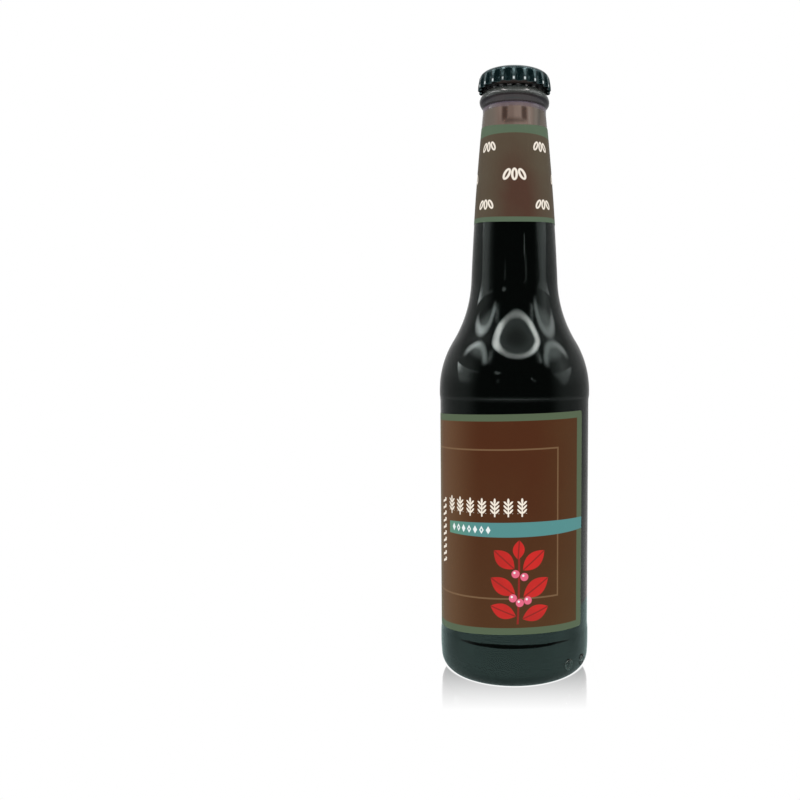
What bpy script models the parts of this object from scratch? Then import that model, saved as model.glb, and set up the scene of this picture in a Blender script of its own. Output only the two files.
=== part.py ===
# A 33 cl long-neck beer bottle, full and shut.
# Five pieces: brown glass, beer, crimped crown cap, neck label and body label.
# Metres, +Z up. The bottle stands on the ground plane at the origin, its front towards -Y.

import math

import bpy

MM = 0.001

# Smoothness: glass and labels share their facets, so the paper lies flat on the glass
GLASS_SEGMENTS = 56
BEER_SEGMENTS = 28

# Base and heel
PUNT_DEPTH = 3.3 * MM
RING_INNER = 20.6 * MM
RING_OUTER = 23.8 * MM
HEEL_HEIGHT = 6.8 * MM
HEEL_RADIUS = 29.5 * MM
LOWER_BAND_RADIUS = 29.68 * MM
LOWER_BAND = (9.9 * MM, 15.7 * MM)

# Recessed panel that the body label lies in, and the contact band above it
PANEL = (17.9 * MM, 108.7 * MM)
PANEL_BOTTOM_RADIUS = 29.52 * MM
PANEL_TOP_RADIUS = 29.66 * MM
CONTACT_RADIUS = 29.96 * MM
CONTACT_BOTTOM = 110.1 * MM

# Shoulder, throat and neck: three arcs that run smoothly into one another
SHOULDER_BOTTOM = 111.3 * MM
SHOULDER_BEND = 38.2 * MM
SHOULDER_TURN = 31.4
THROAT_BEND = 49.2 * MM
NECK_LEAN = 2.45
NECK_BEND = 1100.0 * MM
NECK_TOP = 217.2 * MM
WAIST_RADIUS = 12.4 * MM
WAIST_HEIGHT = 221.0 * MM

# Ring under the cap, and the head that the cap grips
RING_HEIGHT = 225.0 * MM
RING_RADIUS = 13.77 * MM
RING_BEND = 2.8 * MM
RING_SWEEP = 54.0
GROOVE_RADIUS = 12.3 * MM
GROOVE_TOP = 229.0 * MM
HEAD_RADIUS = 12.8 * MM
HEAD_BOTTOM = 230.4 * MM
HEAD_CORNER = 2.4 * MM
LIP_HEIGHT = 234.8 * MM
LIP_ROUND = 0.8 * MM

# Inside of the glass
WALL = 2.3 * MM
FLOOR_HEIGHT = 6.9 * MM
FLOOR_RIM_HEIGHT = 5.4 * MM
FLOOR_CORNER = 7.0 * MM
NECK_INSIDE_TOP = 212.0 * MM
BORE_RADIUS = 8.0 * MM
BORE_BOTTOM = 227.0 * MM

# Beer, clear of the glass by the gap
GAP = 0.3 * MM
BEER_LEVEL = 184.0 * MM

# Crown cap
CAP_TOP = 235.5 * MM
CAP_BOTTOM = 229.4 * MM
CAP_STEEL = 0.3 * MM
CAP_FLAT_RADIUS = 11.15 * MM
CAP_CORNER = 2.5 * MM
CAP_CORNER_END = 8.0
CAP_EDGE_RADIUS = 14.4 * MM
CAP_FLUTES = 21
CAP_STEPS_PER_FLUTE = 4
CAP_SKIRT_STEPS = 3
FLUTE_DEPTH = 0.9 * MM
FLUTE_START = 234.5 * MM
FLUTE_FULL = 230.6 * MM

# Labels
PAPER_GAP = 0.17 * MM
PAPER = 0.13 * MM
BODY_LABEL = (21.6 * MM, 104.0 * MM)
BODY_LABEL_RIGHT = 58.0
BODY_LABEL_FACETS = 30
BODY_LABEL_SLOPE = 0.0227
NECK_LABEL = (175.8 * MM, 212.9 * MM)

# Finishes: colour, roughness, metallic
FINISHES = {
    "bottle_glass": ((0.020, 0.012, 0.006, 1.0), 0.05, 0.0),
    "beer": ((0.018, 0.006, 0.002, 1.0), 0.1, 0.0),
    "crown_cap": ((0.012, 0.018, 0.019, 1.0), 0.25, 0.0),
    "neck_label": ((0.070, 0.042, 0.028, 1.0), 0.5, 0.0),
    "body_label": ((0.084, 0.036, 0.016, 1.0), 0.5, 0.0),
}

# Centres of the shoulder, throat and neck arcs, each on the line where it meets the arc before
SHOULDER_CENTRE = (CONTACT_RADIUS - SHOULDER_BEND, SHOULDER_BOTTOM)
TURN_COS = math.cos(math.radians(SHOULDER_TURN))
TURN_SIN = math.sin(math.radians(SHOULDER_TURN))
THROAT_CENTRE = (
    SHOULDER_CENTRE[0] + (SHOULDER_BEND + THROAT_BEND) * TURN_COS,
    SHOULDER_CENTRE[1] + (SHOULDER_BEND + THROAT_BEND) * TURN_SIN,
)
NECK_CENTRE = (
    THROAT_CENTRE[0] - (THROAT_BEND + NECK_BEND) * math.cos(math.radians(NECK_LEAN)),
    THROAT_CENTRE[1] - (THROAT_BEND + NECK_BEND) * math.sin(math.radians(NECK_LEAN)),
)
FACET = 360.0 / GLASS_SEGMENTS
FRONT = -90.0


def arc(centre, radius, start, end, steps):
    # Points (radius, height) along an arc, its angles in degrees above the outward direction
    points = []
    for step in range(steps + 1):
        angle = math.radians(start + (end - start) * step / steps)
        points.append((centre[0] + radius * math.cos(angle), centre[1] + radius * math.sin(angle)))
    return points


def panel_radius(height):
    # Radius of the panel at a height, which widens very slightly towards the shoulder
    share = (height - PANEL[0]) / (PANEL[1] - PANEL[0])
    return PANEL_BOTTOM_RADIUS + (PANEL_TOP_RADIUS - PANEL_BOTTOM_RADIUS) * share


def neck_radius(height, inset):
    # Radius of the neck at a height, as far inside the glass surface as the inset
    bend = NECK_BEND - inset
    rise = height - NECK_CENTRE[1]
    return NECK_CENTRE[0] + math.sqrt(bend * bend - rise * rise)


def neck(top, bottom, inset, steps):
    # Points down the neck between two heights
    heights = [top + (bottom - top) * step / steps for step in range(steps + 1)]
    return [(neck_radius(height, inset), height) for height in heights]


def throat_and_shoulder(inset, steps):
    # Points from where the neck ends down to the top of the straight body
    throat = arc(THROAT_CENTRE, THROAT_BEND + inset, 180.0 + NECK_LEAN, 180.0 + SHOULDER_TURN, steps)
    shoulder = arc(SHOULDER_CENTRE, SHOULDER_BEND - inset, SHOULDER_TURN, 0.0, steps)
    return throat + shoulder[1:]


def throat_top(inset):
    # Height at which the neck runs into the throat
    return THROAT_CENTRE[1] - (THROAT_BEND + inset) * math.sin(math.radians(NECK_LEAN))


def punt(steps):
    # Points over the hollow of the base, from its rim to its middle
    bend = (RING_INNER ** 2 + PUNT_DEPTH ** 2) / (2.0 * PUNT_DEPTH)
    rim_angle = math.degrees(math.acos(RING_INNER / bend))
    return arc((0.0, PUNT_DEPTH - bend), bend, rim_angle, 90.0, steps)


def heel(steps):
    # Points round the heel, a quarter of an ellipse, from the body down to the standing ring
    points = []
    for step in range(steps + 1):
        angle = math.radians(90.0 * step / steps)
        radius = RING_OUTER + (HEEL_RADIUS - RING_OUTER) * math.cos(angle)
        points.append((radius, HEEL_HEIGHT * (1.0 - math.sin(angle))))
    return points


def floor(inset, steps):
    # Points over the inside of the base, from its middle to the foot of the straight wall
    corner_radius = FLOOR_CORNER - inset
    corner_centre = (PANEL_BOTTOM_RADIUS - WALL - FLOOR_CORNER, FLOOR_RIM_HEIGHT + FLOOR_CORNER)
    crown = FLOOR_HEIGHT - FLOOR_RIM_HEIGHT
    dome = []
    for share in (0.0, 0.5):
        dome.append((corner_centre[0] * share, FLOOR_HEIGHT - crown * share * share + inset))
    return dome + arc(corner_centre, corner_radius, 270.0, 360.0, steps)


def glass_profile():
    # The inside from the floor to the bore, over the lip, and down the outside to the punt
    inside = floor(0.0, 4)
    inside += throat_and_shoulder(WALL, 4)[::-1]
    inside += neck(throat_top(WALL), NECK_INSIDE_TOP, WALL, 3)[1:]
    bore_top = LIP_HEIGHT - LIP_ROUND
    inside += [(BORE_RADIUS, BORE_BOTTOM), (BORE_RADIUS, bore_top)]
    lip = arc((BORE_RADIUS + LIP_ROUND, bore_top), LIP_ROUND, 180.0, 90.0, 3)[1:]
    head_centre = (HEAD_RADIUS - HEAD_CORNER, LIP_HEIGHT - HEAD_CORNER)
    head = arc(head_centre, HEAD_CORNER, 90.0, 0.0, 4)
    head += [(HEAD_RADIUS, HEAD_BOTTOM), (GROOVE_RADIUS, GROOVE_TOP)]
    ring_centre = (RING_RADIUS - RING_BEND, RING_HEIGHT)
    ring = arc(ring_centre, RING_BEND, RING_SWEEP, -RING_SWEEP, 6)
    waist = [(WAIST_RADIUS, WAIST_HEIGHT)]
    outside = neck(NECK_TOP, throat_top(0.0), 0.0, 6)[:-1]
    outside += throat_and_shoulder(0.0, 6)
    bands = [
        (CONTACT_RADIUS, CONTACT_BOTTOM),
        (PANEL_TOP_RADIUS, PANEL[1]),
        (PANEL_BOTTOM_RADIUS, PANEL[0]),
        (LOWER_BAND_RADIUS, LOWER_BAND[1]),
        (LOWER_BAND_RADIUS, LOWER_BAND[0]),
    ]
    return inside + lip + head + ring + waist + outside + bands + heel(5) + punt(4)


def beer_profile():
    # The flat top of the beer, and down its side to the middle of the floor
    inset = WALL + GAP
    profile = [(0.0, BEER_LEVEL)]
    profile += neck(BEER_LEVEL, throat_top(inset), inset, 2)[:-1]
    profile += throat_and_shoulder(inset, 4)
    return profile + floor(GAP, 4)[::-1]


def cap_profile(inset):
    # The cap over its flutes' crests, from the middle of the top down to the edge of the skirt
    corner_centre = (CAP_FLAT_RADIUS, CAP_TOP - CAP_CORNER)
    corner = arc(corner_centre, CAP_CORNER - inset, 90.0, CAP_CORNER_END, 5)
    skirt_top = corner[-1]
    skirt = []
    for step in range(1, CAP_SKIRT_STEPS + 1):
        share = step / CAP_SKIRT_STEPS
        height = skirt_top[1] + (CAP_BOTTOM - skirt_top[1]) * share
        flare = math.sin(math.radians(90.0 * share))
        radius = skirt_top[0] + (CAP_EDGE_RADIUS - inset - skirt_top[0]) * flare
        skirt.append((radius, height))
    return [(0.0, CAP_TOP - inset)] + corner + skirt


def flute_depth(height):
    # How far the valleys between the flutes lie inside the crests
    share = (FLUTE_START - height) / (FLUTE_START - FLUTE_FULL)
    share = min(max(share, 0.0), 1.0)
    return FLUTE_DEPTH * share * share * (3.0 - 2.0 * share)


def finish(name):
    # One material for each piece
    colour, roughness, metallic = FINISHES[name]
    material = bpy.data.materials.new(name)
    material.use_nodes = True
    shader = material.node_tree.nodes["Principled BSDF"]
    shader.inputs["Base Color"].default_value = colour
    shader.inputs["Roughness"].default_value = roughness
    shader.inputs["Metallic"].default_value = metallic
    return material


def turned(collection, name, profile, segments, closed=False):
    # An outline of (radius, height) points, turned once round Z
    points = [(radius, 0.0, height) for radius, height in profile]
    edges = [(index, index + 1) for index in range(len(points) - 1)]
    if closed:
        edges.append((len(points) - 1, 0))
    mesh = bpy.data.meshes.new(name)
    mesh.from_pydata(points, edges, [])
    mesh.materials.append(finish(name))
    piece = bpy.data.objects.new(name, mesh)
    collection.objects.link(piece)
    turn = piece.modifiers.new("Turn", "SCREW")
    turn.axis = "Z"
    turn.steps = segments
    turn.render_steps = segments
    turn.use_merge_vertices = True
    turn.merge_threshold = 0.01 * MM
    turn.use_smooth_shade = True
    return piece


def make_glass(collection):
    # The bottle itself, turned so that a facet starts at the body label's right-hand edge
    glass = turned(collection, "bottle_glass", glass_profile(), GLASS_SEGMENTS)
    glass.rotation_euler.z = math.radians(FRONT + BODY_LABEL_RIGHT)
    return glass


def make_beer(collection):
    # The beer up to its level in the neck
    beer = turned(collection, "beer", beer_profile(), BEER_SEGMENTS)
    beer.rotation_euler.z = math.radians(FRONT + BODY_LABEL_RIGHT)
    return beer


def make_cap(collection):
    # A thin turned shell whose skirt is then pressed into flutes
    profile = cap_profile(0.0) + cap_profile(CAP_STEEL)[::-1]
    cap = turned(collection, "crown_cap", profile, CAP_FLUTES * CAP_STEPS_PER_FLUTE)
    bpy.context.view_layer.update()
    evaluated = cap.evaluated_get(bpy.context.evaluated_depsgraph_get())
    mesh = bpy.data.meshes.new_from_object(evaluated)
    for vertex in mesh.vertices:
        radius = math.hypot(vertex.co.x, vertex.co.y)
        if radius > CAP_FLAT_RADIUS:
            angle = math.atan2(vertex.co.y, vertex.co.x)
            valley = 0.5 - 0.5 * math.cos(CAP_FLUTES * angle)
            scale = 1.0 - flute_depth(vertex.co.z) * valley / radius
            vertex.co.x *= scale
            vertex.co.y *= scale
    cap.modifiers.clear()
    cap.data = mesh
    return cap


def make_neck_label(collection):
    # A sleeve of paper right round the neck
    outer = neck(NECK_LABEL[1], NECK_LABEL[0], -PAPER_GAP - PAPER, 4)
    inner = neck(NECK_LABEL[0], NECK_LABEL[1], -PAPER_GAP, 4)
    label = turned(collection, "neck_label", outer + inner, GLASS_SEGMENTS, closed=True)
    label.rotation_euler.z = math.radians(FRONT + BODY_LABEL_RIGHT)
    return label


def make_body_label(collection):
    # A sheet of paper in the panel, a little over half way round, that rises slightly to the right
    sweep = math.radians(FACET * BODY_LABEL_FACETS)
    rise = BODY_LABEL_SLOPE * PANEL_TOP_RADIUS * sweep
    front_share = 1.0 - math.radians(BODY_LABEL_RIGHT) / sweep
    left_edge = []
    for height in (BODY_LABEL[1], BODY_LABEL[0]):
        left_edge.append((panel_radius(height) + PAPER_GAP + PAPER, height))
    label = turned(collection, "body_label", left_edge, BODY_LABEL_FACETS)
    label.modifiers["Turn"].angle = sweep
    label.modifiers["Turn"].screw_offset = rise
    sheet = label.modifiers.new("Paper", "SOLIDIFY")
    sheet.thickness = PAPER
    sheet.offset = -1.0
    sheet.use_even_offset = True
    label.rotation_euler.z = math.radians(FRONT + BODY_LABEL_RIGHT) - sweep
    label.location.z = -rise * front_share
    return label


def main():
    for old in list(bpy.data.objects):
        bpy.data.objects.remove(old)
    collection = bpy.data.collections.new("beer_bottle")
    bpy.context.scene.collection.children.link(collection)
    make_glass(collection)
    make_beer(collection)
    make_cap(collection)
    make_neck_label(collection)
    make_body_label(collection)


main()
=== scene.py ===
# A full, shut beer bottle: brown glass, dark beer, crimped crown cap and two paper labels

import math

import bmesh
import bpy
from mathutils import Matrix, Vector, noise


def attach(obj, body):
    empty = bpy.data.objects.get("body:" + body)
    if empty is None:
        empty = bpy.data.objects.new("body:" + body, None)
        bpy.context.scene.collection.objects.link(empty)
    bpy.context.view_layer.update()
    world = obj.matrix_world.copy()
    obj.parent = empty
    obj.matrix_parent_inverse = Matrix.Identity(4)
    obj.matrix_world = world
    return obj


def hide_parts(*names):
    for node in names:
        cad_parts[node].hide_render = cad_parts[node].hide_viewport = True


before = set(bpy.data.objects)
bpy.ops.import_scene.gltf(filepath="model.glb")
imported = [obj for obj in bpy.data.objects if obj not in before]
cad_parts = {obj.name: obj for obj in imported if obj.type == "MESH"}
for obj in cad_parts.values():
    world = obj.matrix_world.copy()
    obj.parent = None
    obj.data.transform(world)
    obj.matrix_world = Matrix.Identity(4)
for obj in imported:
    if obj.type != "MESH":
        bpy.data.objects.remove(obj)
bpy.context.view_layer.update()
mm = 0.001
perRadian = 180 / math.pi  # degrees
pureWhite = (1.0, 1.0, 1.0, 1.0)
pureBlack = (0.0, 0.0, 0.0, 1.0)
print("frame ready,", len(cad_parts), "nodes")


# Shader maths


class Wire:  # an output socket that takes part in sums
    def __init__(self, board, socket):
        self.board = board
        self.socket = socket

    def maths(self, operation, *values):
        return self.board.node("ShaderNodeMath", {"operation": operation}, dict(enumerate(values)))

    def other(self, name):  # another output of the same node
        return Wire(self.board, self.socket.node.outputs[name])

    def __add__(self, value):
        return self.maths("ADD", self, value)

    def __radd__(self, value):
        return self.maths("ADD", value, self)

    def __sub__(self, value):
        return self.maths("SUBTRACT", self, value)

    def __rsub__(self, value):
        return self.maths("SUBTRACT", value, self)

    def __mul__(self, value):
        return self.maths("MULTIPLY", self, value)

    def __rmul__(self, value):
        return self.maths("MULTIPLY", value, self)

    def __truediv__(self, value):
        return self.maths("DIVIDE", self, value)

    def __rtruediv__(self, value):
        return self.maths("DIVIDE", value, self)

    def __pow__(self, value):
        return self.maths("POWER", self, value)

    def __abs__(self):
        return self.maths("ABSOLUTE", self)

    def least(self, value):
        return self.maths("MINIMUM", self, value)

    def most(self, value):
        return self.maths("MAXIMUM", self, value)

    def rise(self, low, high):  # 0 below low, 1 above high, smooth between them
        sockets = {"Value": self, "From Min": low, "From Max": high}
        return self.board.node("ShaderNodeMapRange", {"interpolation_type": "SMOOTHSTEP"}, sockets)

    def fall(self, low, high):
        return 1 - self.rise(low, high)

    def within(self, low, high, soft):
        return self.rise(low - soft, low + soft) * self.fall(high - soft, high + soft)

    def bell(self, centre, width):
        off = (self - centre) / width
        return self.maths("EXPONENT", off * off * -1)

    def fraction(self):
        return self.maths("FRACT", self)

    def wrapped(self, pitch):  # distance from the middle of each of a row of cells
        return (self / pitch).fraction() * pitch - pitch / 2


class Board:  # a node tree under construction
    def __init__(self, tree):
        self.tree = tree
        tree.nodes.clear()

    def node(self, kind, settings=None, sockets=None, output=0):
        made = self.tree.nodes.new(kind)
        for name, value in (settings or {}).items():
            setattr(made, name, value)
        for name, value in (sockets or {}).items():
            if isinstance(value, Wire):
                self.tree.links.new(value.socket, made.inputs[name])
            else:
                made.inputs[name].default_value = value
        return Wire(self, made.outputs[output]) if made.outputs else None

    def spot(self, kind="Object"):  # three wires: x, y and z of a texture coordinate
        place = self.node("ShaderNodeTexCoord", output=kind)
        x = self.node("ShaderNodeSeparateXYZ", {}, {0: place})
        return x, x.other("Y"), x.other("Z")

    def blend(self, share, first, second):  # colours
        settings = {"data_type": "RGBA"}
        return self.node("ShaderNodeMix", settings, {0: share, 6: first, 7: second}, 2)

    def clouds(self, scale, detail=2.0, place=None):
        sockets = {"Scale": scale, "Detail": detail}
        sockets["Vector"] = place or self.node("ShaderNodeTexCoord", output="Object")
        return self.node("ShaderNodeTexNoise", {}, sockets)

    def bump(self, height, strength, distance):
        sockets = {"Height": height, "Strength": strength, "Distance": distance}
        return self.node("ShaderNodeBump", {}, sockets)

    def principled(self, sockets):
        return self.node("ShaderNodeBsdfPrincipled", {}, sockets)

    def mixed(self, share, first, second):  # shaders
        return self.node("ShaderNodeMixShader", {}, {0: share, 1: first, 2: second})

    def surface(self, shader):
        self.node("ShaderNodeOutputMaterial", {}, {"Surface": shader})


def aroundFrom(x, y):  # the angle round the bottle from its front towards +X, in radians
    return x.maths("ARCTAN2", x, y * -1)


def paint(red, green, blue):  # a colour as the eye reads it, 0 to 255, made linear
    linear = [c / 3294.6 if c <= 10 else ((c / 255 + 0.055) / 1.055) ** 2.4 for c in (red, green, blue)]
    return (*linear, 1.0)


def newFinish(name):
    finish = bpy.data.materials.new(name)
    finish.use_nodes = True
    return finish, Board(finish.node_tree)


# Shapes


def arc(centre, radius, start, end, steps):
    # (radius, height) points, angles in degrees above the outward direction
    turns = [math.radians(start + (end - start) * step / steps) for step in range(steps + 1)]
    return [(centre[0] + radius * math.cos(t), centre[1] + radius * math.sin(t)) for t in turns]


def softened(points, reach, steps=5):
    # An outline with its corners rounded off, as far along its sides as the reach
    rounded = [points[0]]
    for before, corner, after in zip(points, points[1:], points[2:]):
        corner = Vector(corner)
        back, ahead = Vector(before) - corner, Vector(after) - corner
        start = corner + back.normalized() * min(reach, back.length * 0.45)
        end = corner + ahead.normalized() * min(reach, ahead.length * 0.45)
        for step in range(steps + 1):
            share = step / steps
            rounded.append(tuple(start.lerp(corner, share).lerp(corner.lerp(end, share), share)))
    return rounded + [points[-1]]


def turned(outline, segments):
    # An outline of (radius, height) points in mm, turned once round the bottle's axis
    bm = bmesh.new()
    points = [bm.verts.new((radius * mm, 0.0, height * mm)) for radius, height in outline]
    for first, second in zip(points, points[1:]):
        bm.edges.new((first, second))
    bmesh.ops.spin(bm, geom=bm.verts[:] + bm.edges[:], cent=(0, 0, 0), axis=(0, 0, 1), dvec=(0, 0, 0),
                   angle=math.tau, steps=segments, use_merge=True, use_duplicate=False)
    bmesh.ops.remove_doubles(bm, verts=bm.verts[:], dist=0.0005 * mm)
    bmesh.ops.recalc_face_normals(bm, faces=bm.faces[:])
    return bm


def polar(vert):
    # Radius in mm and the angle from the front towards +X
    return math.hypot(vert.co.x, vert.co.y) / mm, math.atan2(vert.co.x, -vert.co.y)


def pushed(vert, distance):
    # Moves a point out from the bottle's axis, in mm
    radius = polar(vert)[0]
    vert.co.x *= 1 + distance / radius
    vert.co.y *= 1 + distance / radius


def smoothStep(value, low, high):
    share = min(max((value - low) / (high - low), 0.0), 1.0)
    return share * share * (3 - 2 * share)


def finished(bm, name, finish, replaced, sharp=35.0):
    # The mesh as a piece that rides on the bottle, and stands for a solid where one is named
    for face in bm.faces:
        face.smooth = True
    for edge in bm.edges:
        if len(edge.link_faces) == 2 and edge.calc_face_angle(0.0) > math.radians(sharp):
            edge.smooth = False
    mesh = bpy.data.meshes.new(name)
    bm.to_mesh(mesh)
    bm.free()
    mesh.materials.append(finish)
    piece = bpy.data.objects.new(name, mesh)
    bpy.context.scene.collection.objects.link(piece)
    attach(piece, "root")
    if replaced:
        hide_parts(replaced)


# Glass

glassLook = {
    "segments": 240,
    "puntDepth": 3.3, "ringInner": 20.6, "ringOuter": 23.8,  # the hollow base and its standing ring
    "heelHeight": 6.8, "heelRadius": 29.5, "lowerBandRadius": 29.7, "lowerBand": (9.9, 15.6),
    "panel": (17.7, 108.1), "panelRadius": (29.47, 29.66),  # where the body label lies
    "contactRadius": 29.96, "contactBottom": 109.6,
    "shoulderBottom": 111.3, "shoulderBend": 38.2, "shoulderTurn": 31.4,
    "throatBend": 49.2, "neckLean": 2.45, "neckBend": 1100.0, "neckTop": 217.2,
    "waist": (12.4, 221.0), "ringHeight": 225.0, "ringRadius": 13.77, "ringBend": 2.8, "ringSweep": 54.0,
    "groove": (12.3, 229.0), "headRadius": 12.8, "headBottom": 230.4, "headCorner": 2.4,
    "lipHeight": 234.8, "lipRound": 0.8,
    "wall": 2.3, "floorHeight": 6.9, "floorRim": 5.4, "floorCorner": 7.0,
    "taperBottom": 188.0, "boreRadius": 8.0, "boreBottom": 229.0,
    "taperSteps": 24, "heelSteps": 18, "grooveSoft": 0.5, "waistSoft": 1.2, "bandSoft": 1.3,
    "seamTurn": 95.0, "seamHeight": 0.06, "seamHalf": 0.8, "seamBottom": 8.0,  # half a turn apart
    "knurlDepth": 0.22, "knurlMargin": 0.4,
    "waviness": 0.035, "waveScale": 38.0, "waveStart": (2.0, 12.0),
    "skin": 1.0, "footTop": 5.0, "footRadius": 23.0,  # where the outside of the glass is looked for
    "passed": (0.38, 0.19, 0.12), "density": 169.0,  # each colour's share that stays, and how strongly
    "gleam": (0.85, 1.0, 0.95, 1.0), "refraction": 1.52, "denseRefraction": 1.58,
    "paintedDeepShade": (44, 24, 15),  # painted shade: the dark streaks that the thick glass shows low in the neck
    "paintedLightAndShade": (  # and the painted reflections and shade that it changes to, between two heights: a highlight under the ring, the ring's shaded underside, its lit top and the shadow under the cap
        (219.8, 220.4, (104, 94, 110)), (221.4, 222.2, (27, 25, 31)), (224.2, 225.4, (68, 74, 72)),
        (227.0, 228.0, (6, 9, 10)),
    ),
    "thick": (221.5, 232.0, 0.92), "thinner": (220.3, 221.5, 0.5),  # heights, and how dense it looks
    "dull": (227.4, 228.4), "dullness": (0.13, 0.16),  # where it turns rougher, from what and by how much
    "streakTurn": 17.0, "streak": (214.6, 220.4),  # painted shade: dark streaks where the bore's sides are seen through the neck
    # painted light inside the neck: its glow, its greyer sides and a darker streak
    "glowHeights": (213.2, 226.6), "glow": (0.37, 0.315, 0.275, 1.0), "dimGlow": (0.27, 0.22, 0.19, 1.0),
    "sideGlow": (0.245, 0.24, 0.205, 1.0), "sideGlowReach": (4.4, 8.0),
    "edgeGlow": (0.13, 0.13, 0.115, 1.0), "edgeGlowReach": 7.75,
}


def bends():
    # Centres of the shoulder, throat and neck arcs
    look = glassLook
    turn, lean = math.radians(look["shoulderTurn"]), math.radians(look["neckLean"])
    shoulder = (look["contactRadius"] - look["shoulderBend"], look["shoulderBottom"])
    both = look["shoulderBend"] + look["throatBend"]
    throat = (shoulder[0] + both * math.cos(turn), shoulder[1] + both * math.sin(turn))
    both = look["throatBend"] + look["neckBend"]
    neck = (throat[0] - both * math.cos(lean), throat[1] - both * math.sin(lean))
    return shoulder, throat, neck


def neckRadius(height, inset=0.0):
    neck = bends()[2]
    bend = glassLook["neckBend"] - inset
    return neck[0] + math.sqrt(bend * bend - (height - neck[1]) ** 2)


def neckLine(top, bottom, inset, steps):
    heights = [top + (bottom - top) * step / steps for step in range(steps + 1)]
    return [(neckRadius(height, inset), height) for height in heights]


def throatTop(inset):
    look = glassLook
    return bends()[1][1] - (look["throatBend"] + inset) * math.sin(math.radians(look["neckLean"]))


def throatAndShoulder(inset, steps):
    look = glassLook
    shoulder, throat = bends()[:2]
    lean, turn = look["neckLean"], look["shoulderTurn"]
    upper = arc(throat, look["throatBend"] + inset, 180 + lean, 180 + turn, steps)
    lower = arc(shoulder, look["shoulderBend"] - inset, turn, 0, steps)
    return upper + lower[1:]


def panelRadius(height):
    low, high = glassLook["panelRadius"]
    bottom, top = glassLook["panel"]
    return low + (high - low) * (height - bottom) / (top - bottom)


def insideFloor(inset, steps):
    # The floor of the hollow, from its middle to the foot of the wall, raised by the inset
    look = glassLook
    corner, rim = look["floorCorner"], look["floorRim"]
    centre = (look["panelRadius"][0] - look["wall"] - corner, rim + corner)
    dome = []
    for share in (0.0, 0.25, 0.5, 0.75, 0.9):
        crown = (look["floorHeight"] - rim) * (1 - share * share)
        dome.append((centre[0] * share, rim + crown + inset))
    return dome + arc(centre, corner - inset, 270, 360, steps)


def heelPoint(turn):
    # A point of the heel's curve, from its top at 0 degrees to the standing ring at 90
    look = glassLook
    angle = math.radians(turn)
    reach = look["heelRadius"] - look["ringOuter"]
    return look["ringOuter"] + reach * math.cos(angle), look["heelHeight"] * (1 - math.sin(angle))


def glassOutline():
    look = glassLook
    inside = insideFloor(0, 12)
    inside += throatAndShoulder(look["wall"], 18)[::-1]
    inside += neckLine(throatTop(look["wall"]), look["taperBottom"], look["wall"], 8)[1:]
    bore, boreTop = look["boreRadius"], look["lipHeight"] - look["lipRound"]
    steps = look["taperSteps"]
    for step in range(1, steps + 1):  # the wall thickens gently up to the bore
        height = look["taperBottom"] + (look["boreBottom"] - look["taperBottom"]) * step / steps
        share = smoothStep(step, 0, steps)
        inside.append((neckRadius(height, look["wall"]) * (1 - share) + bore * share, height))
    inside.append((bore, boreTop))
    lip = arc((bore + look["lipRound"], boreTop), look["lipRound"], 180, 90, 5)[1:]
    corner = look["headCorner"]
    head = arc((look["headRadius"] - corner, look["lipHeight"] - corner), corner, 90, 0, 8)
    ringCentre = (look["ringRadius"] - look["ringBend"], look["ringHeight"])
    ring = arc(ringCentre, look["ringBend"], look["ringSweep"], -look["ringSweep"], 16)
    headFoot = (look["headRadius"], look["headBottom"])
    head += softened([head[-1], headFoot, look["groove"], ring[0]], look["grooveSoft"])[1:-1]
    neck = neckLine(look["neckTop"], throatTop(0), 0, 14)[:-1]
    below = softened([ring[-1], look["waist"], neck[0], neck[1]], look["waistSoft"], 6)[1:-1]
    shoulder = throatAndShoulder(0, 32)
    heelTop = (look["heelRadius"], look["heelHeight"])
    bands = [shoulder[-1], (look["contactRadius"], look["contactBottom"])]
    bands += [(look["panelRadius"][1], look["panel"][1]), (look["panelRadius"][0], look["panel"][0])]
    bands += [(look["lowerBandRadius"], height) for height in look["lowerBand"][::-1]] + [heelTop]
    bands = softened(bands, look["bandSoft"], 7)[1:-1]
    heel = [heelPoint(90 * step / look["heelSteps"]) for step in range(look["heelSteps"] + 1)]
    outer, inner, depth = look["ringOuter"], look["ringInner"], look["puntDepth"]
    ringFlat = [(outer + (inner - outer) * share, 0.0) for share in (0.25, 0.5, 0.75)]
    bend = (inner ** 2 + depth ** 2) / (2 * depth)
    rim = math.degrees(math.acos(inner / bend))
    punt = arc((0, depth - bend), bend, rim, 90, 14)
    return inside + lip + head + ring + below + neck[1:] + shoulder + bands + heel + ringFlat + punt


def outsideRadius(height):
    # The glass's outside, from the heel up to the neck
    look = glassLook
    shoulder, throat = bends()[:2]
    turnHeight = shoulder[1] + look["shoulderBend"] * math.sin(math.radians(look["shoulderTurn"]))
    if height > throatTop(0):
        return neckRadius(height)
    if height > turnHeight:
        return throat[0] - math.sqrt(look["throatBend"] ** 2 - (height - throat[1]) ** 2)
    if height > look["shoulderBottom"]:
        return shoulder[0] + math.sqrt(look["shoulderBend"] ** 2 - (height - shoulder[1]) ** 2)
    return panelRadius(height)


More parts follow.
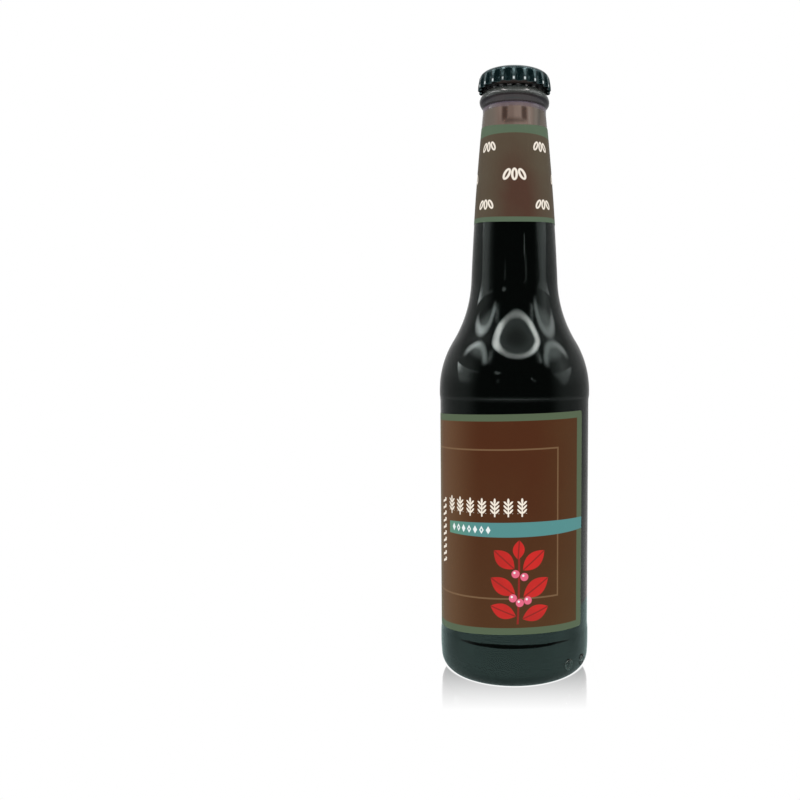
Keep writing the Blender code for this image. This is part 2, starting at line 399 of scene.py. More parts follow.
def moulded(bm):
    # Seams, knurls on the standing ring and the slight unevenness of blown glass
    look = glassLook
    step = math.tau / look["segments"]
    margin = look["knurlMargin"]
    for vert in bm.verts:
        radius, angle = polar(vert)
        height = vert.co.z / mm
        aboveHeel = height > look["seamBottom"]
        if aboveHeel:
            outside = radius > outsideRadius(height) - look["skin"]
        else:  # the heel, which lies below the floor of the hollow
            outside = height < look["footTop"] and radius > look["footRadius"]
        if not outside:
            if height < 0.01 and look["ringInner"] + margin < radius < look["ringOuter"] - margin:
                column = round(angle / step)
                vert.co.z += look["knurlDepth"] * mm * (column % 2)
            continue
        wave = noise.noise(vert.co * look["waveScale"] + Vector((3.1, 0.4, 7.7)))
        sunk = look["waviness"] * (0.5 + 0.5 * wave)
        pushed(vert, -sunk * smoothStep(height, *look["waveStart"]))
        for seam in (look["seamTurn"], look["seamTurn"] - 180):
            off = abs((math.degrees(angle) - seam + 180) % 360 - 180)
            if off < look["seamHalf"] and radius < look["contactRadius"] - 0.2 and aboveHeel:
                pushed(vert, look["seamHeight"])


def makeGlassFinish():
    look = glassLook
    finish, board = newFinish("brown_glass")
    ripple = board.clouds(90.0, 1.0)
    clear = board.principled({
        "Base Color": pureWhite, "Transmission Weight": 1.0, "IOR": look["refraction"],
        "Roughness": board.clouds(160.0).rise(0.3, 0.8) * 0.012 + 0.006, "Specular Tint": look["gleam"],
        "Normal": board.bump(ripple, 0.12, 0.0006),
    })
    x, y, z = board.spot()
    height = z * 1000
    angle = abs(aroundFrom(x, y)) * perRadian
    inner = board.node("ShaderNodeNewGeometry", output="Backfacing")

    # Thick glass under and round the ring, as an opaque shader whose colour carries painted reflections and
    # shade, and painted dark streaks at the sides and foot of the bore
    low, high, most = look["thick"]
    thick = height.within(low, high, 0.4) * most
    low, high, less = look["thinner"]
    thick = (thick + height.within(low, high, 0.4) * less).least(most) * (1 - inner)
    low, high = look["streak"]
    paintedStreaks = abs(angle - look["streakTurn"]).fall(2, 7.5) * height.within(low, high, 1.4) * 0.75
    paintedStreaks = paintedStreaks.most(angle.fall(14, 24) * height.bell(low, 1.1) * 0.5) * (1 - inner)
    # The opaque shader's colour by height: painted dark streaks low down, then a painted highlight, the
    # ring's painted shade and lit top, and the painted shadow under the cap
    colour = paint(*look["paintedDeepShade"])
    for low, high, tone in look["paintedLightAndShade"]:
        colour = board.blend(height.rise(low, high), colour, paint(*tone))
    smoothest, rougher = look["dullness"]
    roughness = height.rise(*look["dull"]) * rougher + smoothest
    dense = board.principled({"Base Color": colour, "Roughness": roughness, "IOR": look["denseRefraction"]})

    # Painted light: an emission on the inside of the neck for the daylight from behind, seen through the
    # bore, greyer at the sides and with a painted darker streak
    upright = board.node("ShaderNodeCombineXYZ", {}, {0: x, 1: y, 2: z * 0.12})
    colour = board.blend(board.clouds(260.0, 2.0, upright).rise(0.38, 0.62), look["dimGlow"], look["glow"])
    colour = board.blend(abs(x * 1000).rise(*look["sideGlowReach"]), colour, look["sideGlow"])
    colour = board.blend((x * 1000).bell(look["edgeGlowReach"], 0.4) * 0.7, colour, look["edgeGlow"])
    glow = board.principled({
        "Base Color": pureBlack, "Specular IOR Level": 0.0,
        "Emission Color": colour, "Emission Strength": 1.0,
    })
    surface = board.mixed(thick.most(paintedStreaks), clear, dense)
    low, high = look["glowHeights"]
    surface = board.mixed(inner * height.within(low, high, 0.6), surface, glow)
    tint = {"Color": (*look["passed"], 1.0), "Density": look["density"]}
    inside = board.node("ShaderNodeVolumeAbsorption", {}, tint)
    board.node("ShaderNodeOutputMaterial", {}, {"Surface": surface, "Volume": inside})
    return finish


def makeGlass(finish):
    bm = turned(glassOutline(), glassLook["segments"])
    moulded(bm)
    finished(bm, "glass_bottle", finish, "bottle_glass", sharp=50.0)


markLook = {  # small moulded rings low on the heel
    "places": ((44.5, 6.8), (63.5, 6.0), (224.5, 6.8), (243.5, 6.0)),  # degrees from the front, and height
    "size": 1.6, "thick": 0.5, "lift": 0.42, "tall": 1.1, "lean": 11.0,
    "roundSteps": 12, "segments": 28,
}


def makeHeelMarks(finish):
    look = markLook
    ring = bpy.data.meshes.new("heel_ring")
    made = turned(arc((look["size"], 0.0), look["thick"], 0, 360, look["roundSteps"]), look["segments"])
    made.to_mesh(ring)
    made.free()
    bm = bmesh.new()
    for turn, height in look["places"]:
        known = len(bm.verts)
        bm.from_mesh(ring)
        bm.verts.ensure_lookup_table()
        rise = math.asin(max(0.0, 1 - height / glassLook["heelHeight"]))
        radius = heelPoint(math.degrees(rise))[0] - look["thick"] + look["lift"]
        angle = math.radians(turn)
        place = Vector((radius * math.sin(angle), -radius * math.cos(angle), height)) * mm
        tilt = Matrix.Rotation(math.radians(90 + look["lean"]), 4, "X")
        tall = Matrix.Diagonal((1, look["tall"], 1, 1))
        matrix = Matrix.Translation(place) @ Matrix.Rotation(angle, 4, "Z") @ tilt @ tall
        bmesh.ops.transform(bm, matrix=matrix, verts=bm.verts[known:])
    bpy.data.meshes.remove(ring)
    finished(bm, "heel_marks", finish, None)


# Beer

beerLook = {
    "segments": 160, "level": 184.0, "overlap": 0.12,  # it reaches this far into the wall
    "meniscus": 0.9, "curl": ((3.0, 0.0), (1.2, 0.12), (0.4, 0.4)),  # in from the wall, and up
    "dark": (2, 9, 6), "brown": (26, 13, 7), "refraction": 1.02,
}


def makeBeer():
    look = beerLook
    level, wetted = look["level"], look["level"] + look["meniscus"]
    inset = glassLook["wall"] - look["overlap"]
    edge = neckRadius(wetted, inset)
    surface = [(0.0, level)] + [(edge - back, level + up) for back, up in look["curl"]] + [(edge, wetted)]
    side = neckLine(wetted, throatTop(inset), inset, 6)[1:-1]
    outline = surface + side + throatAndShoulder(inset, 16) + insideFloor(-look["overlap"], 10)[::-1]
    finish, board = newFinish("dark_beer")
    haze = board.clouds(60.0)
    brown = (board.spot()[2] * 1000).rise(level - 3, wetted) * haze
    board.surface(board.principled({  # so dark that no light gets through a bottle of it
        "Base Color": board.blend(brown, paint(*look["dark"]), paint(*look["brown"])),
        "IOR": look["refraction"], "Roughness": haze * 0.1 + 0.2,
    }))
    finished(turned(outline, look["segments"]), "dark_beer", finish, "beer")


# Crown cap

capLook = {
    "flutes": 21, "stepsPerFlute": 14, "cornerSteps": 12, "skirtSteps": 12,
    "top": 235.5, "bottom": 229.4, "steel": 0.3, "flatRadius": 11.55, "corner": 2.35, "cornerEnd": 8.0,
    "edgeRadius": 14.4, "edgeRoll": 0.12,
    "fluteDepth": 1.0, "fluteTop": 234.6, "fluteFull": 231.2, "scallop": 0.9,
    "ribHalf": 0.1, "ribFoot": 0.36,
    "turn": -0.06,  # where the first rib stands, in flutes from the front
    # The lighter ribs and the white rib feet are worn lacquer that also carries painted highlights and
    # glints
    "lacquer": (7, 24, 26), "ribWearAndSheen": (96, 112, 113), "scuffAndGlint": (222, 230, 230),
    "gleam": (0.62, 1.0, 1.04, 1.0), "refraction": 1.6,
    "ribWearAndSheenPlace": ((0.05, 0.16), (230.9, 234.2)), "ribFade": (231.0, 233.4),  # widths, and heights of the worn ribs with their painted highlight, and where that highlight fades downwards
    "edgeWearAndGlint": ((0.04, 0.12), (229.5, 230.5)), "wearAndSheenReach": (12.6, 13.4),
    # the liner has its own cream colour; its glow is painted light
    "liner": (205, 200, 190), "linerGlow": (0.42, 0.36, 0.33, 1.0),
    "linerEnd": (10.8, 11.4), "linerTop": (235.25, 235.4),  # radii and heights where the liner fades out
}


def capOutline(inset):
    look = capLook
    centre = (look["flatRadius"], look["top"] - look["corner"])
    flat = [(look["flatRadius"] * share, look["top"] - inset) for share in (0.0, 0.3, 0.6, 0.85, 0.95)]
    corner = arc(centre, look["corner"] - inset, 90, look["cornerEnd"], look["cornerSteps"])
    start = corner[-1]
    reach = look["edgeRadius"] - inset - start[0]
    skirt = []
    for step in range(1, look["skirtSteps"] + 1):
        share = step / look["skirtSteps"]
        flare = math.sin(math.radians(90 * share))
        skirt.append((start[0] + reach * flare, start[1] + (look["bottom"] - start[1]) * share))
    return flat + corner + skirt


def fluted(bm):
    # Presses the flutes into the skirt
    look = capLook
    fade = look["fluteTop"] - look["fluteFull"]
    for vert in bm.verts:
        radius, angle = polar(vert)
        if radius <= look["flatRadius"]:
            continue
        across = abs((angle / math.tau * look["flutes"] - look["turn"] + 0.5) % 1 - 0.5)
        valley = smoothStep(across, look["ribHalf"], look["ribFoot"])
        height = vert.co.z / mm
        start = look["fluteTop"] - look["scallop"] * (1 - valley)  # the scallops have round tops
        pushed(vert, -look["fluteDepth"] * valley * smoothStep(start - height, 0, fade))


def makeLacquer():
    look = capLook
    finish, board = newFinish("black_lacquer")
    x, y, z = board.spot()
    radius = ((x * x + y * y) ** 0.5) * 1000
    height = z * 1000
    flute = aroundFrom(x, y) * (look["flutes"] / math.tau) - look["turn"] + 0.5
    across = abs(flute.fraction() - 0.5)
    speckle = board.clouds(420.0, 3.0)
    normalX, normalY = board.spot("Normal")[:2]
    outward = (normalX * x + normalY * y).rise(0, 0.004)
    # Worn lacquer on the outer ribs, also painted as highlights: lighter ribs that fade downwards, and
    # white painted glints at the rib feet
    width, heights = look["ribWearAndSheenPlace"]
    ribWearAndSheen = across.fall(*width) * height.within(*heights, 0.5) * speckle.rise(0.3, 0.55)
    ribWearAndSheen = ribWearAndSheen * radius.rise(*look["wearAndSheenReach"]) * outward * (height.rise(*look["ribFade"]) * 0.35 + 0.42)
    width, heights = look["edgeWearAndGlint"]
    wornAndGlint = across.fall(*width) * height.within(*heights, 0.3) * speckle.rise(0.3, 0.5) * outward
    # The liner inside the top: cream, with a painted glow
    lining = radius.fall(*look["linerEnd"]) * height.fall(*look["linerTop"])
    colour = board.blend(ribWearAndSheen, paint(*look["lacquer"]), paint(*look["ribWearAndSheen"]))
    colour = board.blend(wornAndGlint, colour, paint(*look["scuffAndGlint"]))
    board.surface(board.principled({
        "Base Color": board.blend(lining, colour, paint(*look["liner"])),
        "Emission Color": board.blend(lining, pureBlack, look["linerGlow"]), "Emission Strength": 1.0,
        "Roughness": speckle * 0.08 + 0.14, "Specular Tint": look["gleam"], "IOR": look["refraction"],
    }))
    return finish


def makeCap():
    look = capLook
    outside, inside = capOutline(0.0), capOutline(look["steel"])
    edge = [(look["edgeRadius"] - look["steel"] * 0.5, look["bottom"] - look["edgeRoll"])]
    bm = turned(outside + edge + inside[::-1], look["flutes"] * look["stepsPerFlute"])
    fluted(bm)
    finished(bm, "crown_cap_lacquered", makeLacquer(), "crown_cap")


# Labels


def wrappedSheet(look, radiusAt, edgeRise):
    # A flat sheet with rounded corners, cut into strips and rolled round the bottle
    bm = bmesh.new()
    left, right = (math.radians(turn) for turn in look["turns"])
    bottom, top = look["heights"]
    mean = look["meanRadius"]
    width, height = (right - left) * mean, top - bottom
    made = bmesh.ops.create_grid(bm, x_segments=1, y_segments=1, size=0.5)["verts"]
    bmesh.ops.scale(bm, verts=made, vec=(width, height, 1))
    bmesh.ops.translate(bm, verts=made, vec=((left + right) / 2 * mean, (bottom + top) / 2, 0))
    bmesh.ops.bevel(bm, geom=bm.verts[:], offset=look["corner"], offset_type="OFFSET", segments=5,
                    profile=0.5, affect="VERTICES", material=-1)
    for cut in range(1, look["strips"]):
        along = (left + (right - left) * cut / look["strips"]) * mean
        bmesh.ops.bisect_plane(bm, geom=bm.verts[:] + bm.edges[:] + bm.faces[:], plane_co=(along, 0, 0),
                               plane_no=(1, 0, 0))
    for cut in range(1, look["rows"]):
        level = bottom + height * cut / look["rows"]
        bmesh.ops.bisect_plane(bm, geom=bm.verts[:] + bm.edges[:] + bm.faces[:], plane_co=(0, level, 0),
                               plane_no=(0, 1, 0))
    lift, *lapTurns = look["lap"]
    for vert in bm.verts:
        angle, level = vert.co.x / mean, vert.co.y
        share = (level - bottom) / height
        level += look["slope"] * angle * mean + edgeRise(angle, share)
        lap = lift * smoothStep(math.degrees(angle), *lapTurns)
        creep = look["creep"] * noise.noise(Vector((angle * 4, level * 0.12, look["strips"])))
        radius = radiusAt(level) + look["gap"] + look["paper"] + lap + creep
        vert.co = Vector((radius * math.sin(angle), -radius * math.cos(angle), level)) * mm
    bmesh.ops.recalc_face_normals(bm, faces=bm.faces[:])
    middle = bm.faces[:][len(bm.faces) // 2]
    outward = Vector((middle.calc_center_median().x, middle.calc_center_median().y, 0))
    if middle.normal.dot(outward) < 0:
        bmesh.ops.reverse_faces(bm, faces=bm.faces[:])
    bmesh.ops.solidify(bm, geom=bm.faces[:], thickness=look["paper"] * mm)
    return bm


def turnedAxes(u, v, middle, turn):
    # Where a point of the paper lies along and across a motif, in mm
    c, s = math.cos(math.radians(turn)), math.sin(math.radians(turn))
    du, dv = u - middle[0], v - middle[1]
    return du * c + dv * s, dv * c - du * s


def ellipse(u, v, middle, size, turn=0, soft=0.08):
    # 1 inside an ellipse on the paper, 0 outside
    along, across = turnedAxes(u, v, middle, turn)
    along, across = along / size[0], across / size[1]
    edge = soft / min(size)
    return ((along * along + across * across) ** 0.5).fall(1 - edge, 1 + edge)


def leaf(u, v, middle, size, turn, soft=0.12):
    # A pointed leaf: its mask, and how far across it a point lies
    along, across = turnedAxes(u, v, middle, turn)
    along, across = along / size[0], abs(across)
    edge = (1 - along * along) * size[1] - across
    return edge.rise(-soft, soft), across


def paperFinish(board, colour, roughness):
    fibre = board.clouds(1400.0, 4.0)
    cockle = board.clouds(45.0, 1.0)
    board.surface(board.principled({
        "Base Color": colour, "Roughness": fibre * 0.1 + roughness,
        "Normal": board.bump(fibre * 0.25 + cockle, 0.25, 0.0004), "Specular IOR Level": 0.1,
    }))


bodyLook = {
    "turns": (-134.86, 60.6), "heights": (21.6, 103.5), "meanRadius": 29.81, "corner": 1.4,
    "strips": 150, "rows": 4, "slope": 0.0227, "gap": 0.02, "paper": 0.09, "creep": 0.012,
    "lap": (0.0, 48.6, 53.6),  # how far the sheet is lifted over its other end, and between which turns
    "sag": (0.2, 1.1),  # the lower edge hangs by this much in front, and by this much more at the sides
    "brown": (83, 44, 22), "olive": (88, 61, 34), "green": (90, 105, 80), "teal": (88, 147, 146),
    "tan": (132, 102, 72), "cream": (254, 244, 228), "white": (246, 252, 252), "moss": (98, 150, 128),
    "red": (212, 42, 38), "darkRed": (150, 40, 34), "pink": (238, 108, 138), "sage": (128, 128, 94),
    "border": (24.1, 100.95, 27.75, -68.9),  # the green border's inner edges: bottom, top, right, left
    "frame": (35.0, 90.4, 17.2, -56.7), "frameWidth": 0.6,
    "band": (57.9, 63.4, -29.6), "bandTaper": 0.0011,  # the teal band: bottom, top and left end
    "tanSheen": (-64, -44, -34, -12, 0.4),  # painted sheen towards the left side: grows and fades between these, and its share of the colour
    "sageSheen": (-56, -43, -41.5, -35, 0.38),
    "drawnSoft": 0.08, "printedSoft": 0.12,  # how soft thin lines and broad fields are
}


def bodyEdgeRise(angle, share):
    front, sides = bodyLook["sag"]
    return -(front + sides * (1 - math.cos(2 * angle))) * max(0.0, 1 - 4 * share)


def bodyPrint(board):
    look = bodyLook
    x, y, z = board.spot()
    u = aroundFrom(x, y) * look["meanRadius"]
    v = z * 1000 - u * look["slope"]
    bottom, top = look["heights"]
    front, sides = look["sag"]
    double = u * (2 / look["meanRadius"])
    sag = (1 - double.maths("COSINE", double)) * sides + front
    v = v + sag * (1 - (v - bottom + 1) * (4 / (top - bottom))).most(0)
    mottle = board.clouds(28.0, 3.0)
    # Olive towards the bottom and in mottled patches, and towards the right side as painted sheen
    tone = (v.fall(30, 85) * 0.45 + u.rise(5, 28) * 0.35 + mottle.rise(0.35, 0.7) * 0.3).least(1)
    colour = board.blend(tone, paint(*look["brown"]), paint(*look["olive"]))
    # Painted sheen: a lighter tan band towards the label's left side
    grown, full, kept, gone, most = look["tanSheen"]
    colour = board.blend(u.fall(kept, gone) * u.rise(grown, full) * most, colour, paint(*look["tan"]))

    low, high, right, left = look["frame"]
    half, soft = look["frameWidth"] / 2, look["drawnSoft"]
    outer = u.within(left - half, right + half, soft) * v.within(low - half, high + half, soft)
    inner = u.within(left + half, right - half, soft) * v.within(low + half, high - half, soft)
    colour = board.blend((outer - inner) * 0.8, colour, paint(*look["tan"]))
    # Painted sheen: a faint sage band near the label's left side
    grown, full, kept, gone, most = look["sageSheen"]
    colour = board.blend(u.fall(kept, gone) * u.rise(grown, full) * most, colour, paint(*look["sage"]))

    low, high, right, left = look["border"]
    soft = look["printedSoft"]
    border = 1 - u.within(left, right, soft) * v.within(low, high, soft)
    colour = board.blend(border, colour, paint(*look["green"]))

    low, high, left = look["band"]
    tapered = v + u * u * look["bandTaper"]
    band = v.rise(low - soft, low + soft) * tapered.fall(high - soft, high + soft)
    teal = board.blend(u.fall(-30, -12), paint(*look["teal"]), paint(*look["moss"]))
    colour = board.blend(band * u.rise(left - soft, left + soft), colour, teal)

    colour = board.blend(earFrieze(u, v), colour, paint(*look["cream"]))
    colour = board.blend(lozengeRow(u, v), colour, paint(*look["white"]))
    colour = board.blend(dashColumn(u, v), colour, paint(*look["cream"]))
    return redSprig(board, colour, u, v)


friezeLook = {  # generic motifs, in mm over the paper; a row starts at its left end
    "ears": 7, "earPitch": 5.15, "earLeft": -30.6, "earHeights": (65.5, 72.2), "grainPitch": 1.55,
    "lozenges": 7, "lozengePitch": 2.75, "lozengeLeft": -27.9, "lozengeMiddle": 60.5,
    "dashPitch": 2.6, "dashMiddle": -34.4, "dashHeights": (45.0, 71.0),
    "edge": 0.05,
}


def earFrieze(u, v):
    # A row of cream barley ears over the band
    look = friezeLook
    pitch, left = look["earPitch"], look["earLeft"]
    foot, top = look["earHeights"]
    local = (u - left).wrapped(pitch)
    stem = abs(local).fall(0.2, 0.34) * v.within(foot, top - 0.6, 0.1)
    reach = (abs(local) - 0.95) / 0.85
    slant = (v - foot - 0.35 - abs(local) * 0.9).wrapped(look["grainPitch"]) / 0.5
    grain = (reach * reach + slant * slant).fall(0.8, 1.2) * v.within(foot + 1.2, top - 0.9, 0.1)
    tip = ellipse(local, v, (0, top - 0.75), (0.42, 0.95))
    return stem.most(grain).most(tip) * u.within(left, left + look["ears"] * pitch, look["edge"])


def lozengeRow(u, v):
    # Small white lozenges on the band, every other one hollow
    look = friezeLook
    pitch, left = look["lozengePitch"], look["lozengeLeft"]
    along = u - left
    size = abs(along.wrapped(pitch)) / 0.95 + abs(v - look["lozengeMiddle"]) / 1.5
    hollow = (along / (2 * pitch)).fraction().rise(0.49, 0.51)
    shape = size.fall(0.92, 1.06) * (1 - size.fall(0.34, 0.48) * hollow)
    return shape * u.within(left, left + look["lozenges"] * pitch, look["edge"])


def dashColumn(u, v):
    # A column of short cream strokes and dots at the left
    look = friezeLook
    low, high = look["dashHeights"]
    local = (v - low).wrapped(look["dashPitch"])
    across = u - look["dashMiddle"]
    stroke = abs(local - across * 0.35).fall(0.35, 0.55) * abs(across).fall(1.5, 1.8)
    dot = ellipse(across, local, (1.1, 1.0), (0.7, 0.4))
    return stroke.most(dot) * v.within(low, high, look["edge"])


sprigLook = {  # leaves: middle, half length and half width, turn in degrees; berries: middle
    "leaves": (
        ((-3.9, 49.6), (5.2, 2.9), 138), ((7.3, 49.0), (5.4, 2.9), 40), ((-4.4, 39.6), (5.6, 3.0), 146),
        ((8.2, 38.8), (5.8, 3.1), 34), ((1.6, 53.2), (3.6, 2.2), 86), ((-4.3, 30.4), (5.2, 2.7), 158),
        ((8.0, 29.4), (5.4, 2.8), 22),
    ),
    "berries": ((0.4, 44.2), (3.7, 43.0), (2.0, 33.4), (5.0, 34.2), (-0.6, 35.2)), "berry": 1.5,
    "glint": 0.42, "glintPlace": (-0.4, 0.5),
    "stem": (25.5, 52.0), "stemFoot": (1.2, 26.0), "stemBend": (0.05, 0.0012),
}


def redSprig(board, colour, u, v):
    # A sprig of red leaves and pink berries, drawn over the frame
    look = sprigLook
    red, darkRed, pink, white = (paint(*bodyLook[name]) for name in ("red", "darkRed", "pink", "white"))
    across, foot = look["stemFoot"]
    slope, curve = look["stemBend"]
    up = v - foot
    middle = up * slope - up * up * curve + across
    stem = abs(u - middle).fall(0.28, 0.48) * v.within(*look["stem"], 0.3)
    colour = board.blend(stem, colour, darkRed)
    shaded = board.blend(board.clouds(120.0, 2.0).rise(0.35, 0.7) * 0.35, red, darkRed)
    for middle, size, turn in look["leaves"]:
        mask, across = leaf(u, v, middle, size, turn)
        colour = board.blend(mask, colour, shaded)
        colour = board.blend(mask * across.fall(0.16, 0.34), colour, darkRed)
    for middle in look["berries"]:
        berry = ellipse(u, v, middle, (look["berry"], look["berry"]), soft=0.12)
        colour = board.blend(berry, colour, pink)
        place = (middle[0] + look["glintPlace"][0], middle[1] + look["glintPlace"][1])
        glint = ellipse(u, v, place, (look["glint"], look["glint"]), soft=0.1)
        colour = board.blend(glint, colour, white)
    return colour


def makeBodyLabel():
    bm = wrappedSheet(bodyLook, panelRadius, bodyEdgeRise)
    finish, board = newFinish("body_label_paper")
    paperFinish(board, bodyPrint(board), 0.34)
    finished(bm, "body_label_paper", finish, "body_label")


neckLook = {
    "turns": (-180.0, 188.0), "heights": (175.8, 212.9), "meanRadius": 14.8, "corner": 0.4,
    "strips": 150, "rows": 14, "slope": 0.0, "gap": 0.03, "paper": 0.09, "creep": 0.012,
    "lap": (0.11, 176.0, 181.0),
    "sideRise": 0.67, "topRise": 0.72,  # the lower and the upper edge climb by twice this at the sides
    "brown": (84, 58, 46), "olive": (90, 80, 64), "green": (92, 110, 88), "cream": (250, 240, 226),
    "bands": (177.7, 209.8),
    "groups": ((45, 205.2, 0.92), (45, 182.6, 0.92), (0, 193.9, 1.12)),  # grains: turn, height, scale
    "grains": ((-2.6, 62), (0.0, 90), (2.6, 118)), "grain": (2.15, 1.15), "crease": (1.35, 0.34),
}


def neckEdgeRise(angle, share):
    rise = neckLook["sideRise"] * (1 - share) + neckLook["topRise"] * smoothStep(share, 0.9, 1)
    return (1 - math.cos(2 * angle)) * rise


def threeGrains(angle, v, turn, height, scale):
    # Three cream grains side by side, repeated four times round the neck
    look = neckLook
    quarter = math.pi / 2
    local = (angle - math.radians(turn) + quarter / 2).wrapped(quarter) * look["meanRadius"]
    marks = None
    for place, lean in look["grains"]:
        middle = (place * scale, height)
        grain = ellipse(local, v, middle, [side * scale for side in look["grain"]], lean)
        grain = grain * (1 - ellipse(local, v, middle, [side * scale for side in look["crease"]], lean))
        marks = grain if marks is None else marks.most(grain)
    return marks


def neckPrint(board):
    look = neckLook
    x, y, z = board.spot()
    angle = aroundFrom(x, y)
    height = z * 1000
    bottom, top = look["heights"]
    lift = (1 - (angle * 2).maths("COSINE", angle * 2)) * look["sideRise"]
    share = (height - bottom) / (top - bottom)
    v = height - lift * (1 - share)
    # Painted sheen: the sides lighter and more olive than the front; the olive also comes in mottled
    # patches
    front = (angle.bell(0.08, 0.5) * v.fall(176, 222) * 1.25).least(1)
    mottle = board.clouds(60.0, 3.0)
    tone = (1 - front + mottle.rise(0.35, 0.7) * 0.3 - 0.15).least(1).most(0)
    colour = board.blend(tone, paint(*look["brown"]), paint(*look["olive"]))
    low, high = look["bands"]
    colour = board.blend(1 - v.within(low, high, 0.1), colour, paint(*look["green"]))
    for group in look["groups"]:
        colour = board.blend(threeGrains(angle, v, *group), colour, paint(*look["cream"]))
    return colour


def makeNeckLabel():
    bm = wrappedSheet(neckLook, neckRadius, neckEdgeRise)
    finish, board = newFinish("neck_label_paper")
    paperFinish(board, neckPrint(board), 0.36)
    finished(bm, "neck_label_paper", finish, "neck_label")


# Stage, light and camera

stageLook = {
    "white": 1.0,  # what the camera and clear glass see
    "paperLight": 0.95,  # the even light that falls on paper and lacquer
    "floorRadius": 110.0, "floorTint": (0.75, 1.0, 0.97, 1.0), "floorLight": (0.5, 0.85),
    "mirrorSlope": 0.0155, "mirrorEnd": 45.5, "mirrorMost": 0.62, "mirrorHalf": (31.0, 33.5),
    "mirrorBack": (-2.0, 12.0), "mirrorRoughness": 0.04,
    "halo": (10.0, 29.15, 34.8),  # the white ellipse round the base: centre, half width and half depth
}


def plainRays(board):
    # The camera's own rays, and those together with what it sees through clear glass
    path = board.node("ShaderNodeLightPath", output="Is Camera Ray")
    through = path.other("Is Transmission Ray") * path.other("Glossy Depth").fall(0.4, 0.6)
    return path, path.most(through)


def makeFloor():
    look = stageLook
    bm = bmesh.new()
    bmesh.ops.create_circle(bm, cap_ends=True, segments=96, radius=look["floorRadius"] * mm)
    mesh = bpy.data.meshes.new("pale_floor")
    bm.to_mesh(mesh)
    bm.free()
    floor = bpy.data.objects.new("pale_floor", mesh)
    bpy.context.scene.collection.objects.link(floor)
    finish, board = newFinish("pale_floor")
    x, y = board.spot()[:2]
    radius = ((x * x + y * y) ** 0.5) * 1000
    side, back = abs(x * 1000), y * 1000
    path, plain = plainRays(board)

    # A faint mirror in front of the base, outside the white ellipse
    centre, width, depth = look["halo"]
    across, along = x * (1000 / width), (back - centre) / depth
    halo = ((across * across + along * along) ** 0.5).rise(1.012, 1.042)
    share = ((back + look["mirrorEnd"]) * look["mirrorSlope"]).most(0).least(look["mirrorMost"])
    share = share * halo * back.fall(*look["mirrorBack"]) * side.fall(*look["mirrorHalf"]) * path
    low, high = look["floorLight"]
    # In reflections the floor is brighter in front than behind, and a painted shadow halves it near the
    # base
    gleam = (back.fall(-40, 0) * (high - low) + low) * (radius.rise(25, 38) * 0.5 + 0.5)
    colour = board.blend(plain, look["floorTint"], pureWhite)
    strength = gleam * (1 - plain) + plain * look["white"]
    lit = board.node("ShaderNodeEmission", {}, {"Color": colour, "Strength": strength})
    sockets = {"Color": pureWhite, "Roughness": look["mirrorRoughness"]}
    shine = board.node("ShaderNodeBsdfGlossy", {}, sockets)
    board.surface(board.mixed(share, lit, shine))
    mesh.materials.append(finish)
    floor.visible_diffuse = False


studioLook = {  # turns and heights in degrees, from the front towards +X and from the level upwards
    "base": 0.04, "sideLight": 0.19, "backLight": 0.05, "sideBand": 0.1, "upperSide": 0.12,
    "rightGlow": 0.22,
    "ovalAxis": (0.0424, -0.3526, 0.9348), "ovalHalf": 27.5, "ovalRim": (0.9, 5.0),
    "rimLight": 2.9, "hotTurn": (-44, 15), "hotLight": 7.5, "hotWidening": 1.6,
    "rightRimTurn": (52, 22), "rightRimLight": 7.0, "ovalTint": (1.09, 1.0, 0.995, 1.0),
    "archRim": (0.03, 0.3), "archPane": (0.7, 1.0),  # where these fade, in shares of an arch's size
    "leftArch": ((-77, 27), (24, 18)), "leftArchLight": (2.9, 2.6, 1.2),  # rim, its hot spot, upper pane
    "rightArch": ((80, 26), (24, 19)), "rightArchLight": (2.4, 0.12, 1.1),  # rim, whole pane, upper pane
    "windowTall": 15.0, "windowFoot": (0.7, 1.0),  # the windows narrow downwards and fade out at the foot
    "leftWindow": (20.8, -110, 18), "leftWindowLight": (0.5, 2.7),  # top, outer edge and its slant
    "rightWindow": (17.8, 108, 26), "rightWindowLight": (0.3, 0.7), "rightWindowInner": (58, 18),
    "sparks": (  # small lights that the glass shows low down: middle, size, strength
        ((-27, 20.5), (6, 2.2), 0.9), ((27, 14.6), (1.7, 1.5), 0.8), ((-25, 11), (3, 2.4), 0.2),
        ((31, 12), (3, 1.8), 0.3),
    ),
    "gritTurn": (46.5, 4.5), "gritHeights": (31, 46), "gritLight": (1.1, 0.4),
    "lowLight": 0.12, "backGlow": 0.08, "upperBack": 0.7,
    "backdrop": ((150, 158), (18.0, 19.4)),  # the white behind the bottle: turns and heights
    "table": (-28, -14), "tableLight": 0.8,
}


